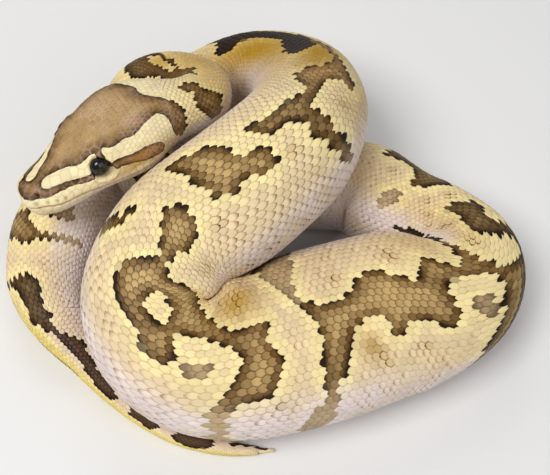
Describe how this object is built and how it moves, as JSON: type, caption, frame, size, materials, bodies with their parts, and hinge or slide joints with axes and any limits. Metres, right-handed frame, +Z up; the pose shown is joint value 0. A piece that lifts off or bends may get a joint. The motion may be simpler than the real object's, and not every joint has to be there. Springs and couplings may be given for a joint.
{
  "type": "coiled ball python",
  "caption": "Coiled ball python resting on the floor, as a still, life-size display model with its head laid on its own coils.",
  "frame": {"origin": "on the floor below the middle of the coil's bounding box", "axes": "+Z up, +X along the coil's longest side, the head lies at -X and the tail runs round the -X side to the -Y side"},
  "size_m": [0.154, 0.1418, 0.0565],
  "materials": {
    "scales": "satin",
    "eyes": "wet gloss"
  },
  "bodies": {
    "root": {"head": "scales", "lower_jaw": "scales", "neck_1": "scales", "neck_2": "scales", "trunk_01": "scales", "trunk_02": "scales", "trunk_03": "scales", "trunk_04": "scales", "trunk_05": "scales", "trunk_06": "scales", "trunk_07": "scales", "trunk_08": "scales", "trunk_09": "scales", "trunk_10": "scales", "trunk_11": "scales", "trunk_12": "scales", "trunk_13": "scales", "tail_1": "scales", "tail_2": "scales", "eye_left": "eyes", "eye_right": "eyes"}
  },
  "joints": []
}
